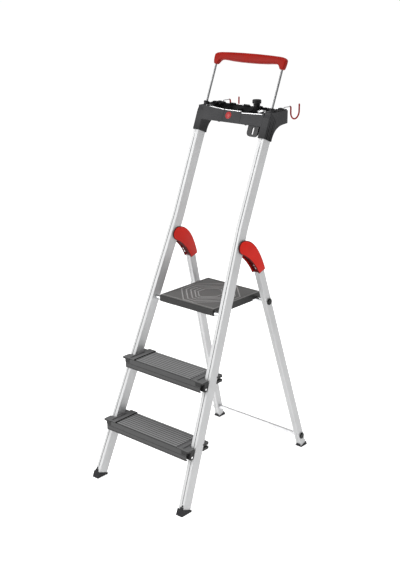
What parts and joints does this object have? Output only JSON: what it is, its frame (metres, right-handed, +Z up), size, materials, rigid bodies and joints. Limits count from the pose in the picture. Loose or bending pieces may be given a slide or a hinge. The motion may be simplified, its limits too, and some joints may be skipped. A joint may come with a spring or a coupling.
{
  "type": "step stool",
  "caption": "Folding aluminium step stool with ribbed treads, a fold-up platform, a tool tray with bucket hooks and a pull-out hand rail.",
  "frame": {"origin": "centre of the bounding box, at the soles of the feet", "axes": "+Z up, -Y towards the front, where the treads are climbed, +X to the right as seen from the front"},
  "size_m": [0.4558, 0.7514, 1.5339],
  "materials": {
    "rail_alloy": "satin anodised",
    "leg_alloy": "satin anodised",
    "brace_alloy": "satin anodised",
    "tube_steel": "zinc plated",
    "foot_rubber": "matt moulded",
    "tread_coating": "dark satin coating, ribbed",
    "cap_plastic": "fine matt moulded",
    "rivet_steel": "bright domed",
    "tray_plastic": "fine matt moulded",
    "badge_plastic": "gloss",
    "tray_fitting_plastic": "fine matt moulded",
    "bearing_plastic": "smooth",
    "plug_plastic": "matt moulded",
    "hinge_plastic": "satin moulded",
    "fastener_steel": "zinc plated",
    "deck_plastic": "grained moulded",
    "clip_plastic": "matt moulded",
    "grip_plastic": "satin moulded",
    "rod_steel": "polished",
    "wire_steel": "bright drawn",
    "sleeve_plastic": "dipped"
  },
  "bodies": {
    "front_frame": {"front_rail_left": "rail_alloy", "front_rail_right": "rail_alloy", "front_foot_left": "foot_rubber", "front_foot_right": "foot_rubber", "front_foot_rivets": "rivet_steel", "tread_lower": "tread_coating", "tread_middle": "tread_coating", "step_cap_lower_left": "cap_plastic", "step_cap_lower_right": "cap_plastic", "step_cap_middle_left": "cap_plastic", "step_cap_middle_right": "cap_plastic", "step_rivets": "rivet_steel", "tool_tray": "tray_plastic", "tray_rivets": "rivet_steel", "tray_badge": "badge_plastic", "tool_post": "tray_fitting_plastic", "tool_loop": "tray_fitting_plastic", "tool_rack": "tray_fitting_plastic", "rod_guide_left": "bearing_plastic", "rod_guide_right": "bearing_plastic", "platform_axle": "tube_steel", "hinge_bush_left": "bearing_plastic", "hinge_bush_right": "bearing_plastic"},
    "rear_frame": {"rear_leg_left": "leg_alloy", "rear_leg_right": "leg_alloy", "rear_foot_left": "foot_rubber", "rear_foot_right": "foot_rubber", "platform_rest_tube": "tube_steel", "brace_tube": "brace_alloy", "rest_tube_caps": "plug_plastic", "brace_tube_caps": "plug_plastic", "hinge_shell_outer_left": "hinge_plastic", "hinge_shell_outer_right": "hinge_plastic", "hinge_shell_inner_left": "hinge_plastic", "hinge_shell_inner_right": "hinge_plastic", "hinge_pin_left": "fastener_steel", "hinge_pin_right": "fastener_steel", "hinge_rivets": "fastener_steel"},
    "platform": {"platform_deck": "deck_plastic", "platform_sleeves": "clip_plastic", "platform_clips": "clip_plastic", "platform_screws": "fastener_steel"},
    "hand_rail": {"hand_grip": "grip_plastic", "hand_rod_left": "rod_steel", "hand_rod_right": "rod_steel", "rod_stops": "bearing_plastic"},
    "hook_left": {"hook_wire_left": "wire_steel", "hook_sleeve_left": "sleeve_plastic"},
    "hook_right": {"hook_wire_right": "wire_steel", "hook_sleeve_right": "sleeve_plastic"}
  },
  "joints": [
    {"name": "leg_fold", "type": "hinge", "parent": "front_frame", "child": "rear_frame", "pos_m": [0, 0.00829, 0.88909], "axis": [-1, 0, 0], "range_deg": [0, 38]},
    {"name": "platform_fold", "type": "hinge", "parent": "front_frame", "child": "platform", "pos_m": [0, -0.08548, 0.657], "axis": [1, 0, 0], "range_deg": [0, 68]},
    {"name": "hand_rail_slide", "type": "slide", "parent": "front_frame", "child": "hand_rail", "axis": [0, 0.3746, 0.9272], "range_m": [-0.14, 0]},
    {"name": "hook_left_swivel", "type": "hinge", "parent": "front_frame", "child": "hook_left", "pos_m": [-0.142, 0.2767, 1.342], "axis": [0, 0, -1], "range_deg": [0, 90]},
    {"name": "hook_right_swivel", "type": "hinge", "parent": "front_frame", "child": "hook_right", "pos_m": [0.142, 0.2767, 1.342], "axis": [0, 0, 1], "range_deg": [0, 90]}
  ],
  "couplings": [
    {"joint": "platform_fold", "follows": "leg_fold", "ratio": 1.7894}
  ]
}
